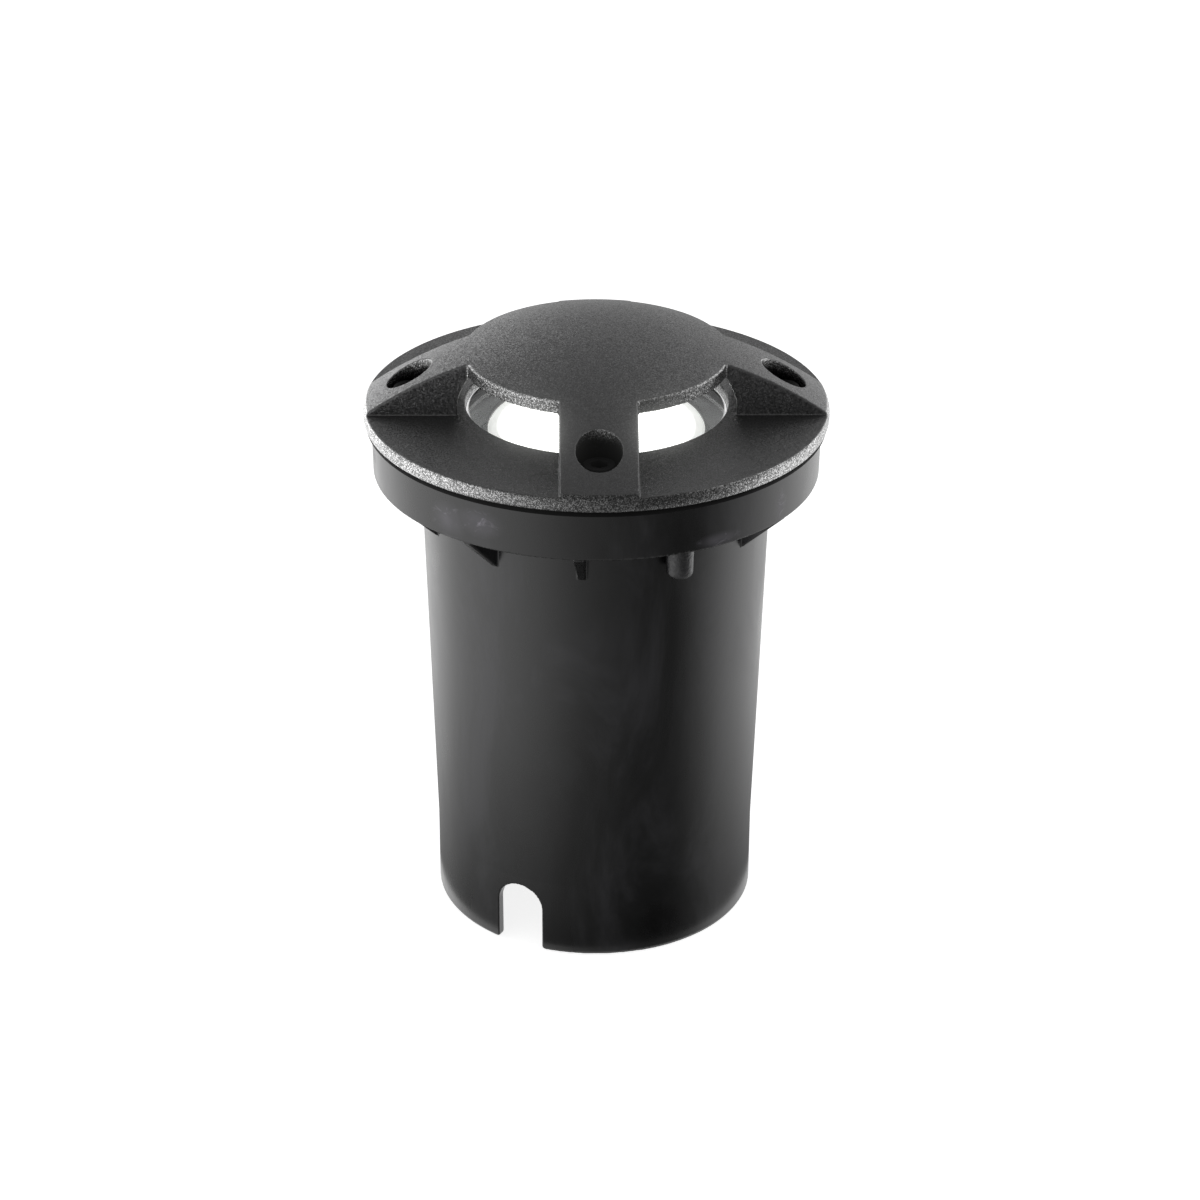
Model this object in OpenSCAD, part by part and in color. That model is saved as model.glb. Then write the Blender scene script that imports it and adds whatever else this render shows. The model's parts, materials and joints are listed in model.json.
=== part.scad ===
// Recessed marker light, four-way, for paths and driveways.
// Millimetres, +Z up. Origin: centre of the sleeve's bottom rim.
// Azimuths are counted from -Y (the front leg) towards +X.

/* [Cover] */
// Outer diameter of the cover's flange
cover_d = 120; // [118:0.5:122]
// Thickness of the cover's flange
cover_t = 3.7; // [3.4:0.1:4]
// Radius of the sphere that the cover's crown follows
crown_r = 100.5; // [96:0.5:110]
// Height of the crown's top over the flange's underside
crown_h = 23.8; // [23:0.1:25]
// Wall thickness of the canopy between the legs
canopy_t = 2.6; // [2:0.1:3]
// Radius of the round canopy between the legs
canopy_r = 34.1; // [33.5:0.1:34.5]
// Width of each of the four legs
leg_w = 19.5; // [18:0.5:21]
// Radius of the light opening in the flange
opening_r = 33.9; // [33.7:0.1:34.1]
// Radius of the hollow behind the legs, at flange level
hollow_r = 36.8; // [36:0.1:37.5]

/* [Cover screws] */
// Radius of the circle that the cover screws stand on
screw_circle_r = 48; // [47.5:0.1:48.5]
// Diameter of the deep screw holes in the legs
screw_hole_d = 11.5; // [11:0.1:12]
// Height of the screw seat over the flange's underside
screw_seat_h = 1.8; // [1.6:0.1:2]

/* [Mounting sleeve] */
// Height of the sleeve, from its bottom rim to the collar's top
sleeve_h = 136.6; // [130:0.2:160]
// Outer diameter of the collar
collar_d = 116; // [115:0.5:117]
// Height of the collar
collar_h = 12.6; // [12.4:0.1:13]
// Thickness of the shoulder plate that the lamp rests on
shoulder_t = 3; // [2.6:0.1:3]
// Outer radius of the tube just under the collar
tube_top_r = 45.5; // [45.2:0.1:46]
// Outer radius of the tube at its bottom rim
tube_foot_r = 42.3; // [42.2:0.1:43]
// Wall thickness of the tube
tube_wall = 2.6; // [2.2:0.1:2.7]
// Height of the straight foot below the taper
foot_h = 21; // [18:1:24]
// Azimuth of the first gusset
rib_az = -5.2; // [-8:0.1:-4]
// angle of the front fixing screw and its boss, from the front to the right
fixing_az = 24.1; // [22:0.1:27]
// Height of the gussets and bosses
rib_h = 11.2; // [10:0.1:12]
// Thickness of a gusset
rib_t = 2.2; // [1.8:0.1:3]
// Radius of the circle that the fixing screws stand on
fixing_circle_r = 49.5; // [49.3:0.1:49.7]
// Diameter of a fixing boss
boss_d = 7.2; // [7:0.1:7.6]

/* [Cable slots] */
// Width of a cable slot
slot_w = 13; // [11:0.5:14]
// Height of a cable slot at its crown
slot_h = 18.6; // [16:0.2:20]
// Azimuth of the front cable slot
slot_az = -28.75; // [-32:0.25:-26]

/* [Lamp housing] */
// Outer radius of the housing's barrel
barrel_r = 37.6; // [37.2:0.1:38]
// Number of cooling fins round the barrel
fins = 12; // [6:1:18]

/* [Optics] */
// Radius of the glass's clear raised face
glass_face_r = 33.2; // [33:0.1:33.3]
// Radius of the lit face of the diffuser
lit_r = 27.2; // [27:0.1:27.4]

/* [Hidden] */
$fn = 96;

rib_places = 12;
screw_d = 5;
// The light unit and the cover are drawn for a collar whose top is at this
// height; lift() carries them to the sleeve's real height.
collar_top = 136.6;
housing_z = 48;
floor_t = 4;
barrel_in_r = 34.5;
seal_t = 1.4;
base_z = collar_top + seal_t;            // underside of the cover's flange
top_z = base_z + cover_t;                // flat top of the cover's flange
cover_r = cover_d / 2;
crown_z = base_z + crown_h - crown_r;    // centre of the crown's sphere
canopy_in = crown_r - canopy_t;
rim_z = crown_z + sqrt(canopy_in * canopy_in - canopy_r * canopy_r);
seat_z = base_z + screw_seat_h;
collar_r = collar_d / 2;
collar_z = sleeve_h - collar_h;          // underside of the collar
shoulder_z = collar_z + shoulder_t;      // face that the housing rests on
foot_r2 = tube_foot_r + 0.15;
socket_r = collar_r - 2.8;               // inside of the collar
flange_r = socket_r - 0.3;               // outside of the housing's flange
skirt_z = collar_top - collar_h + shoulder_t;
plate_z = collar_top - 4;                // underside of the housing's flange plate
floor_z = housing_z + floor_t;
lens_z = collar_top - 6.2;               // floor of the lens seat
spreader_z = 100;
board_z = spreader_z + 4.5;
cone_z = board_z + 1.7;
rim_in_z = lens_z - 3.4;
screw_r = screw_d / 2;

module lift() translate([0, 0, sleeve_h - collar_top]) children();

// Outer radius of the sleeve's tube at height z
function tube_r(z) = z < foot_h ? tube_foot_r + 0.15 * z / foot_h
    : foot_r2 + (tube_top_r - foot_r2) * (z - foot_h) / (collar_z - foot_h);

// Puts a shape at an azimuth and a radius
module at(az, r) rotate([0, 0, az]) translate([0, -r, 0]) children();

// A round bar between two heights
module bar(r, z0, z1) translate([0, 0, z0]) cylinder(r = r, h = z1 - z0);

// A flat ring between two heights
module ring(r0, r1, z0, z1) difference() {
    bar(r1, z0, z1);
    bar(r0, z0 - 1, z1 + 1);
}

// A screw with a round socket head: the axis is Z, the head sits on z = 0
module socket_screw(r, head_r, head_h, len, key_r, key_d) difference() {
    union() {
        bar(head_r, 0, head_h - 0.4);
        translate([0, 0, head_h - 0.4]) cylinder(r1 = head_r, r2 = head_r - 0.4, h = 0.4);
        bar(r, -len + 0.5, 0.2);
        translate([0, 0, -len]) cylinder(r1 = r - 0.5, r2 = r, h = 0.5);
    }
    translate([0, 0, head_h - key_d]) cylinder(r = key_r, h = key_d + 1, $fn = 6);
}

// A tube of radius r through the points of a path, with closed ends
function unit(v) = v / norm(v);
function tangent(p, i) = i == 0 ? unit(p[1] - p[0])
    : i == len(p) - 1 ? unit(p[i] - p[i - 1]) : unit(unit(p[i + 1] - p[i]) + unit(p[i] - p[i - 1]));
function side(t) = unit(cross(t, [0.83, 0.11, 0.07]));
module wire(p, r, n = 10) {
    pts = [for (i = [0 : len(p) - 1]) let (t = tangent(p, i), u = side(t), v = cross(t, u))
        for (k = [0 : n - 1]) p[i] + r * (cos(360 * k / n) * u + sin(360 * k / n) * v)];
    faces = concat([[for (k = [0 : n - 1]) k]],
        [for (i = [0 : len(p) - 2]) for (k = [0 : n - 1])
            [i * n + k, (i + 1) * n + k, (i + 1) * n + (k + 1) % n, i * n + (k + 1) % n]],
        [[for (k = [n - 1 : -1 : 0]) (len(p) - 1) * n + k]]);
    polyhedron(points = pts, faces = faces, convexity = 4);
}

// ---------------------------------------------------------------- sleeve

module gusset() rotate([90, 0, 0]) translate([0, 0, -rib_t / 2]) linear_extrude(rib_t)
    polygon([[43.9, collar_z + 0.2], [collar_r - 1, collar_z + 0.2], [collar_r - 1, collar_z - 0.6],
        [tube_r(collar_z - rib_h) + 0.5, collar_z - rib_h], [43.9, collar_z - rib_h]]);

module cable_slot(az) rotate([0, 0, az]) translate([0, -30, 0]) rotate([90, 0, 0])
    linear_extrude(22) union() {
        polygon([[-slot_w / 2 - 1.2, -1], [slot_w / 2 + 1.2, -1], [slot_w / 2 + 1.2, 0],
            [slot_w / 2 + 0.35, 0.45], [slot_w / 2, 1.4], [slot_w / 2, slot_h - slot_w / 2],
            [-slot_w / 2, slot_h - slot_w / 2], [-slot_w / 2, 1.2], [-slot_w / 2 - 0.25, 0.35],
            [-slot_w / 2 - 0.8, 0]]);
        translate([0, slot_h - slot_w / 2]) circle(r = slot_w / 2);
    }

module fixing_boss() {
    bar(boss_d / 2, collar_z - rib_h + 2.2, collar_z + 0.2);
    translate([0, 0, collar_z - rib_h + 0.7]) cylinder(r1 = boss_d / 2 - 1.1, r2 = boss_d / 2, h = 1.5);
    translate([-rib_t / 2, 0, collar_z - rib_h + 1]) cube([rib_t, 5, rib_h - 0.8]);
}

module mounting_sleeve() color([0.09, 0.09, 0.095]) difference() {
    union() {
        rotate_extrude() polygon([
            [tube_foot_r - 0.4, 0], [tube_foot_r, 0.4], [foot_r2, foot_h], [tube_top_r, collar_z],
            [collar_r - 0.7, collar_z], [collar_r, collar_z + 0.7], [collar_r, sleeve_h - 0.3],
            [collar_r - 0.3, sleeve_h], [socket_r, sleeve_h], [socket_r, shoulder_z],
            [tube_top_r - tube_wall, shoulder_z], [tube_top_r - tube_wall, collar_z],
            [foot_r2 - tube_wall, foot_h], [tube_foot_r - tube_wall, 0]]);
        for (i = [0 : rib_places - 1]) if (i % 6 != 1)
            rotate([0, 0, rib_az + i * 360 / rib_places - 90]) gusset();
        for (i = [1, 7]) at(fixing_az + (i - 1) * 360 / rib_places, fixing_circle_r) fixing_boss();
    }
    cable_slot(slot_az);
    cable_slot(slot_az + 180);
    for (i = [1, 7]) at(fixing_az + (i - 1) * 360 / rib_places, fixing_circle_r)
        bar(2.05, collar_z - rib_h + 2.4, shoulder_z + 1);
}

// ------------------------------------------------------------- light unit

module lamp_housing() lift() color([0.3, 0.31, 0.32]) difference() {
    union() {
        rotate_extrude() polygon([
            [0, housing_z], [barrel_r - 1, housing_z], [barrel_r, housing_z + 1], [barrel_r, 110],
            [41.8, 116], [41.8, plate_z], [52.3, plate_z], [52.3, skirt_z],
            [flange_r, skirt_z], [flange_r, collar_top - 0.4],
            [flange_r - 0.4, collar_top], [38.6, collar_top], [38.6, lens_z],
            [barrel_in_r, lens_z], [barrel_in_r, floor_z], [0, floor_z]]);
        intersection() {
            union() {
                for (a = [0 : 90 : 270]) at(a, screw_circle_r) bar(5, skirt_z + 0.6, 133);
                for (i = [1, 7]) at(fixing_az + (i - 1) * 360 / rib_places, fixing_circle_r)
                    bar(6.2, skirt_z + 0.2, 133);
                for (a = [45 : 90 : 315]) rotate([0, 0, a]) translate([-1, -53, 128]) cube([2, 12, 5]);
            }
            ring(41, flange_r - 0.9, 120, 134);
        }
        for (i = [0 : fins - 1]) rotate([0, 0, 10 + i * 360 / fins]) translate([-1, -barrel_r - 1.6, 54]) cube([2, 3, 52]);
        for (a = [0, 120, 240]) at(a, 31) bar(3.8, floor_z - 0.5, spreader_z);
        translate([20, 2, 0]) bar(4, floor_z - 0.5, 57);
    }
    for (a = [0 : 90 : 270]) at(a, screw_circle_r) bar(screw_r + 0.05, 127, 137);
    for (i = [1, 7]) at(fixing_az + (i - 1) * 360 / rib_places, fixing_circle_r) {
        bar(2.3, 126, 137);
        bar(4.7, 129.4, 137);
    }
    for (a = [0, 120, 240]) at(a, 31) bar(1.55, 88, 101);
    translate([20, 2, 0]) bar(1.55, 53, 58);
    translate([0, -16, 0]) bar(1.55, 49.2, 53);
    bar(8.1, 47, 53);
    translate([-23, 0, 0]) bar(3.05, 47, 53);
}

module cover_seal() lift() color([0.05, 0.05, 0.05]) difference() {
    ring(39.2, 59.4, collar_top, base_z);
    for (a = [0 : 90 : 270]) at(a, screw_circle_r) bar(2.9, collar_top - 1, base_z + 1);
    for (i = [1, 7]) at(fixing_az + (i - 1) * 360 / rib_places, fixing_circle_r) bar(5, collar_top - 1, base_z + 1);
}

module lens_seal() lift() color([0.12, 0.12, 0.12]) rotate_extrude() polygon([
    [34.8, lens_z], [38.4, lens_z], [38.4, base_z], [34.2, base_z], [34.2, collar_top],
    [37.5, collar_top], [37.5, lens_z + 1.4], [34.8, lens_z + 1.4]]);

module glass_lens() lift() color([0.8, 0.88, 0.88, 0.4]) rotate_extrude() polygon([
    [0, lens_z + 1.4], [37, lens_z + 1.4], [37.4, lens_z + 1.8], [37.4, collar_top - 0.4],
    [37, collar_top], [glass_face_r, collar_top], [glass_face_r, base_z + 1.1],
    [glass_face_r - 0.8, base_z + 1.9], [0, base_z + 1.9]]);

module bezel_ring() lift() color([0.16, 0.16, 0.17]) rotate_extrude() polygon([
    [lit_r + 0.3, rim_in_z + 1.8], [34.2, rim_in_z + 1.8], [34.2, rim_in_z + 4.8],
    [33.4, rim_in_z + 4.8], [33.4, rim_in_z + 3.2], [lit_r + 1, rim_in_z + 3.2], [lit_r + 0.3, rim_in_z + 2.9]]);

module diffuser() lift() color([0.98, 0.98, 0.98]) rotate_extrude() polygon([
    [0, rim_in_z], [33.6, rim_in_z], [33.6, rim_in_z + 1.8], [lit_r, rim_in_z + 1.8],
    [lit_r, rim_in_z + 2.5], [lit_r - 0.3, rim_in_z + 2.8], [0, rim_in_z + 2.8]]);

module reflector_cup() lift() color([0.9, 0.9, 0.9]) rotate_extrude() polygon([
    [11.5, cone_z], [13.2, cone_z], [31.5, rim_in_z - 2.1], [34.2, rim_in_z - 2.1],
    [34.2, rim_in_z], [31.8, rim_in_z]]);

module led_emitter() lift() color([0.95, 0.85, 0.35]) {
    bar(10.5, board_z + 1.6, board_z + 2.6);
    bar(8, board_z + 2.5, board_z + 3);
}

module led_board() lift() color([0.92, 0.92, 0.9]) difference() {
    bar(22, board_z, board_z + 1.6);
    for (a = [0, 120, 240]) at(a, 19) bar(1.7, board_z - 1, board_z + 3);
}

module board_screws() lift() color([0.75, 0.75, 0.77]) for (a = [0, 120, 240])
    at(a, 19) translate([0, 0, board_z + 1.6]) socket_screw(1.5, 2.75, 1.8, 5, 1.15, 1.1);

module thermal_pad() lift() color([0.55, 0.6, 0.68]) bar(16.5, spreader_z + 4, board_z);

module heat_spreader() lift() color([0.72, 0.73, 0.75]) difference() {
    bar(34.2, spreader_z, spreader_z + 4);
    for (a = [0, 120, 240]) at(a, 31) bar(1.7, spreader_z - 1, spreader_z + 5);
    for (a = [0, 120, 240]) at(a, 19) bar(1.55, spreader_z - 1, spreader_z + 5);
    for (x = [-25, 25]) translate([x, 0, 0]) bar(1.55, spreader_z - 1, spreader_z + 5);
    translate([0, 27, 0]) bar(3.5, spreader_z - 1, spreader_z + 5);
}

module spreader_screws() lift() color([0.75, 0.75, 0.77]) for (a = [0, 120, 240])
    at(a, 31) translate([0, 0, spreader_z + 4]) socket_screw(1.5, 2.75, 2.2, 14, 1.15, 1.3);

module led_driver() lift() color([0.88, 0.88, 0.86]) difference() {
    union() {
        translate([-20, -14, spreader_z - 22]) cube([40, 28, 20.5]);
        translate([-28, -5.5, spreader_z - 2]) cube([56, 11, 2]);
        translate([-20, -14, spreader_z - 2]) cube([40, 28, 2]);
    }
    for (x = [-25, 25]) translate([x, 0, 0]) bar(1.7, spreader_z - 3, spreader_z + 1);
}

module driver_screws() lift() color([0.75, 0.75, 0.77]) for (x = [-25, 25])
    translate([x, 0, spreader_z - 2]) mirror([0, 0, 1]) socket_screw(1.5, 2.75, 1.8, 5.5, 1.15, 1.1);

lead_path = [[2, 14, 88], [2, 18, 88], [2, 22, 88.8], [1.9, 25.2, 91], [1.7, 27, 95], [1.6, 27, 99],
    [1.6, 27, 104], [1.7, 26.4, 107.4], [2, 24.6, 109.2], [2.3, 22.2, 109.5], [2.6, 20.4, 108.4],
    [2.7, 20.1, 107.2], [2.7, 20.1, 106.15]];
module led_leads() lift() color([0.7, 0.08, 0.06]) {
    wire(lead_path, 0.9);
    mirror([1, 0, 0]) wire(lead_path, 0.9);
}

module terminal_block() lift() color([0.93, 0.92, 0.88]) difference() {
    union() {
        translate([-13, -27, floor_z]) cube([26, 14.6, 15]);
        for (x = [-9, 0, 9]) translate([x - 3.2, -26.4, floor_z + 14]) cube([6.4, 7, 1.9]);
    }
    translate([0, -16, 0]) bar(1.7, floor_z - 1, floor_z + 8);
    translate([0, -16, 0]) bar(3.1, floor_z + 6, floor_z + 16);
}

module terminal_screw() lift() color([0.75, 0.75, 0.77])
    translate([0, -16, floor_z + 6]) socket_screw(1.5, 2.75, 2, 8.6, 1.15, 1.2);

module live_wire() lift() color([0.42, 0.22, 0.1])
    wire([[-9, -22.9, 67.9], [-9, -22.9, 70.6], [-8.9, -21.6, 73], [-8.7, -18.6, 74.4], [-8.5, -14, 74.6],
        [-8.2, -9.6, 74.9], [-8, -6.9, 75.9], [-8, -6, 77], [-8, -6, 78]], 1.1);

module neutral_wire() lift() color([0.1, 0.25, 0.6])
    wire([[0, -22.9, 67.9], [0, -22.9, 70.6], [0, -21.6, 73], [0, -18.6, 74.4], [0, -14, 74.6],
        [0, -9.6, 74.9], [0, -6.9, 75.9], [0, -6, 77], [0, -6, 78]], 1.1);

module earth_wire() lift() color([0.45, 0.6, 0.12])
    wire([[9, -22.9, 67.9], [9, -22.9, 70.2], [9.9, -21.9, 72.2], [12.2, -19.4, 73.4], [15.2, -15.6, 73],
        [17.8, -11.6, 70.6], [19.4, -8.2, 66.6], [20, -6, 62], [20, -6, 57.8]], 1.1);

module earth_tag() lift() color([0.8, 0.8, 0.78]) difference() {
    union() {
        translate([20, 2, 0]) bar(4.3, 57, 57.8);
        translate([18.2, -7.6, 57]) cube([3.6, 8, 0.8]);
    }
    translate([20, 2, 0]) bar(1.7, 56, 59);
}

module earth_screw() lift() color([0.75, 0.75, 0.77])
    translate([20, 2, 57.8]) socket_screw(1.5, 2.75, 2, 4.5, 1.15, 1.2);

module vent_plug() lift() color([0.13, 0.13, 0.13]) translate([-23, 0, 0]) {
    bar(5.2, housing_z - 2.2, housing_z);
    translate([0, 0, housing_z - 3]) cylinder(r1 = 4.4, r2 = 5.2, h = 0.8);
    bar(3, housing_z - 0.2, floor_z + 1);
}

module gland_body() lift() color([0.1, 0.1, 0.1]) difference() {
    union() {
        translate([0, 0, 42.4]) cylinder(r = 11.5, h = 4, $fn = 6);
        bar(7.9, 46, 57.5);
        bar(8.2, 33, 42.6);
    }
    bar(4.5, 32, 58);
    bar(6.7, 32, 40);
}

module gland_o_ring() lift() color([0.05, 0.05, 0.05]) ring(8.2, 9.9, 46.4, housing_z);

module gland_locknut() lift() color([0.1, 0.1, 0.1]) difference() {
    translate([0, 0, floor_z]) cylinder(r = 11.5, h = 4, $fn = 6);
    bar(8, floor_z - 1, floor_z + 5);
}

module gland_seal() lift() color([0.06, 0.06, 0.06]) ring(3.6, 6.5, 30.2, 39.8);

module gland_slip_ring() lift() color([0.8, 0.8, 0.8]) ring(4, 7.8, 28.4, 30);

module gland_nut() lift() color([0.1, 0.1, 0.1]) difference() {
    intersection() {
        translate([0, 0, 26.4]) cylinder(r = 11.5, h = 14.6, $fn = 6);
        rotate_extrude() polygon([[0, 26.4], [6.4, 26.4], [8.8, 27.4], [10.4, 29.2], [11.2, 31.4],
            [11.6, 33], [11.6, 40.4], [10.9, 41], [0, 41]]);
    }
    bar(4.6, 25, 42);
    bar(8.27, 28.2, 42);
}

module fixing_washer(i) lift() color([0.75, 0.75, 0.77]) at(fixing_az + (i - 1) * 360 / rib_places, fixing_circle_r)
    ring(2.2, 4.4, 129.4, 130.2);

module fixing_screw(i) lift() color([0.75, 0.75, 0.77]) at(fixing_az + (i - 1) * 360 / rib_places, fixing_circle_r)
    translate([0, 0, 130.2]) socket_screw(2, 3.8, 2.6, 8.1, 1.45, 1.6);

module fixing_washer_front() fixing_washer(1);
module fixing_screw_front() fixing_screw(1);
module fixing_washer_rear() fixing_washer(7);
module fixing_screw_rear() fixing_screw(7);

// ------------------------------------------------------------------ cover

module top_cover() lift() color([0.27, 0.275, 0.28]) difference() {
    union() {
        rotate_extrude() polygon([[0, base_z], [cover_r - 0.4, base_z], [cover_r, base_z + 0.5],
            [cover_r, top_z - 0.7], [cover_r - 0.2, top_z - 0.25], [cover_r - 0.6, top_z], [0, top_z]]);
        intersection() {
            translate([0, 0, crown_z]) sphere(r = crown_r, $fn = 160);
            union() {
                bar(canopy_r, top_z - 0.5, base_z + 30);
                for (a = [0, 90]) rotate([0, 0, a])
                    translate([-leg_w / 2, -70, top_z - 0.5]) cube([leg_w, 140, 30]);
            }
            bar(cover_r - 0.6, top_z - 0.6, base_z + 30);
        }
    }
    // hollow under the canopy
    intersection() {
        translate([0, 0, crown_z]) sphere(r = canopy_in, $fn = 160);
        rotate_extrude() polygon([[0, top_z], [hollow_r, top_z], [hollow_r, base_z + 6.5],
            [hollow_r - 0.3, base_z + 8.5], [canopy_r, rim_z], [canopy_r - 1.2, rim_z + 3.2],
            [canopy_r - 4, base_z + 21.6], [0, base_z + 26]]);
    }
    // light opening
    bar(opening_r, base_z - 1, top_z + 1);
    translate([0, 0, top_z - 0.5]) cylinder(r1 = opening_r, r2 = opening_r + 0.7, h = 0.7);
    // screw holes
    for (a = [0 : 90 : 270]) at(a, screw_circle_r) {
        bar(2.8, base_z - 1, seat_z + 1);
        bar(screw_hole_d / 2, seat_z, base_z + 30);
    }
}

module cover_washer(a) lift() color([0.2, 0.2, 0.2]) at(a, screw_circle_r)
    ring(2.7, 5, seat_z, seat_z + 1);

module cover_screw(a) lift() color([0.14, 0.14, 0.14]) at(a, screw_circle_r)
    translate([0, 0, seat_z + 1]) socket_screw(screw_r, 4.25, 5, seat_z + 1 - 128.6, 2.31, 2.8);

module cover_washer_front() cover_washer(0);
module cover_screw_front() cover_screw(0);
module cover_washer_right() cover_washer(90);
module cover_screw_right() cover_screw(90);
module cover_washer_rear() cover_washer(180);
module cover_screw_rear() cover_screw(180);
module cover_washer_left() cover_washer(270);
module cover_screw_left() cover_screw(270);

mounting_sleeve();
lamp_housing();
cover_seal();
lens_seal();
glass_lens();
bezel_ring();
diffuser();
reflector_cup();
led_emitter();
led_board();
board_screws();
thermal_pad();
heat_spreader();
spreader_screws();
led_driver();
driver_screws();
led_leads();
terminal_block();
terminal_screw();
live_wire();
neutral_wire();
earth_wire();
earth_tag();
earth_screw();
vent_plug();
gland_body();
gland_o_ring();
gland_locknut();
gland_seal();
gland_slip_ring();
gland_nut();
fixing_washer_front();
fixing_screw_front();
fixing_washer_rear();
fixing_screw_rear();
top_cover();
cover_washer_front();
cover_screw_front();
cover_washer_right();
cover_screw_right();
cover_washer_rear();
cover_screw_rear();
cover_washer_left();
cover_screw_left();
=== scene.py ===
import json
import math
from concurrent.futures import ThreadPoolExecutor

import bpy
import numpy as np
from mathutils import Matrix, Vector
from mathutils.geometry import delaunay_2d_cdt


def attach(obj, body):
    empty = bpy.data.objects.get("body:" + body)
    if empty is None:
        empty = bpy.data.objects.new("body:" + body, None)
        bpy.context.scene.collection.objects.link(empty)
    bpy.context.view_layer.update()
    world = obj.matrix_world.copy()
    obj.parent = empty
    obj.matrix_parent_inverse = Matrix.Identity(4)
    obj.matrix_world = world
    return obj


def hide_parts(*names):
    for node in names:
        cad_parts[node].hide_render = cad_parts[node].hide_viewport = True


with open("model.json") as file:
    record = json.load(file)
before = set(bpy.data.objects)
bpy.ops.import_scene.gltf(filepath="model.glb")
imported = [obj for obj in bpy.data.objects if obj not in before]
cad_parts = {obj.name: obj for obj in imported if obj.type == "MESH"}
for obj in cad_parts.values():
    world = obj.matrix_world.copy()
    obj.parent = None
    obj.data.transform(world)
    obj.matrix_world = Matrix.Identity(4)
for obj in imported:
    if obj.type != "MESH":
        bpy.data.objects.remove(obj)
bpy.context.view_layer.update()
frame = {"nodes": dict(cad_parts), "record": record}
NODES = frame["nodes"]
MM = 0.001
SOCKET = {"base": "Base Color", "rough": "Roughness", "metal": "Metallic"}

# Heights over the plane that the sleeve stands on, in mm
BASE = 138.0      # underside of the cover's flange
RIM = 136.6       # top of the collar
COLLAR = 124.0    # underside of the collar
SHOULDER = 127.0
CROWN_R, CROWN_H, CANOPY_T = 100.5, 23.8, 2.6
SLOT_AZ = -28.75
RIB_AZ = -5.2
BOSS_AZ = 24.1
# rubbed places on the collar: azimuth, height, width and height of the place in mm
SCUFFS = [(-40.0, 129.0, 7.0, 6.0), (-31.0, 130.5, 9.0, 4.5), (52.0, 129.0, 3.0, 7.0), (31.0, 126.0, 8.0, 2.5), (-80.0, 131.0, 4.0, 3.0),
          (148.0, 129.0, 8.0, 5.0), (-128.0, 130.0, 7.0, 4.0)]


# ---------------------------------------------------------------- mesh tools

def add_mesh(name, co, faces, body, material, normals=None, smooth_angle=None):
    """A mesh object in metres from points in mm and a list or an array of faces."""
    me = bpy.data.meshes.new(name)
    co = np.asarray(co, dtype=np.float64) * MM
    if isinstance(faces, np.ndarray):
        n = len(faces)
        me.vertices.add(len(co))
        me.vertices.foreach_set("co", co.astype(np.float32).ravel())
        me.loops.add(n * 4)
        me.loops.foreach_set("vertex_index", faces.astype(np.int32).ravel())
        me.polygons.add(n)
        me.polygons.foreach_set("loop_start", np.arange(0, n * 4, 4, dtype=np.int32))
        me.update(calc_edges=True)
    else:
        me.from_pydata([tuple(p) for p in co], [], faces)
        me.update()
    me.validate()
    me.shade_smooth()
    if normals is not None:
        me.normals_split_custom_set_from_vertices(np.asarray(normals).tolist())
    elif smooth_angle is not None:
        me.set_sharp_from_angle(angle=math.radians(smooth_angle))
    ob = bpy.data.objects.new(name, me)
    bpy.context.scene.collection.objects.link(ob)
    me.materials.append(material)
    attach(ob, body)
    return ob


def arc_corners(pts, n=5):
    """A closed or open polyline whose corners (x, y, radius) are rounded."""
    out = []
    m = len(pts)
    for i, p in enumerate(pts):
        r = p[2] if len(p) > 2 else 0
        a, b, c = (np.array(pts[j][:2], float) for j in ((i - 1) % m, i, (i + 1) % m))
        if r <= 0:
            out.append(tuple(b))
            continue
        u, v = a - b, c - b
        lu, lv = np.hypot(*u), np.hypot(*v)
        u, v = u / lu, v / lv
        half = math.acos(max(-1, min(1, float(u @ v)))) / 2
        cut = min(r / math.tan(half), lu * 0.49, lv * 0.49)
        rr = cut * math.tan(half)
        w = (u + v) / np.hypot(*(u + v))
        centre = b + w * rr / math.sin(half)
        s = b + u * cut - centre
        e = b + v * cut - centre
        a0, a1 = math.atan2(s[1], s[0]), math.atan2(e[1], e[0])
        d = (a1 - a0 + math.pi) % (2 * math.pi) - math.pi
        for k in range(n + 1):
            t = a0 + d * k / n
            out.append((centre[0] + rr * math.cos(t), centre[1] + rr * math.sin(t)))
    return out


def lathe(profile, segs=192, x=0.0, y=0.0, closed=True):
    """Points and faces of a profile of (radius, z) turned about Z. A radius of 0 becomes a pole."""
    co, rings = [], []
    for r, z in profile:
        if r < 1e-6:
            rings.append([len(co)])
            co.append((x, y, z))
        else:
            rings.append(list(range(len(co), len(co) + segs)))
            co += [(x + r * math.cos(2 * math.pi * k / segs), y + r * math.sin(2 * math.pi * k / segs), z)
                   for k in range(segs)]
    faces = []
    pairs = list(zip(rings, rings[1:] + rings[:1])) if closed else list(zip(rings, rings[1:]))
    for a, b in pairs:
        if len(a) == 1 and len(b) == 1:
            continue
        for k in range(segs):
            j = (k + 1) % segs
            if len(a) == 1:
                faces.append((a[0], b[j], b[k]))
            elif len(b) == 1:
                faces.append((a[k], a[j], b[0]))
            else:
                faces.append((a[k], a[j], b[j], b[k]))
    return co, faces


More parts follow.
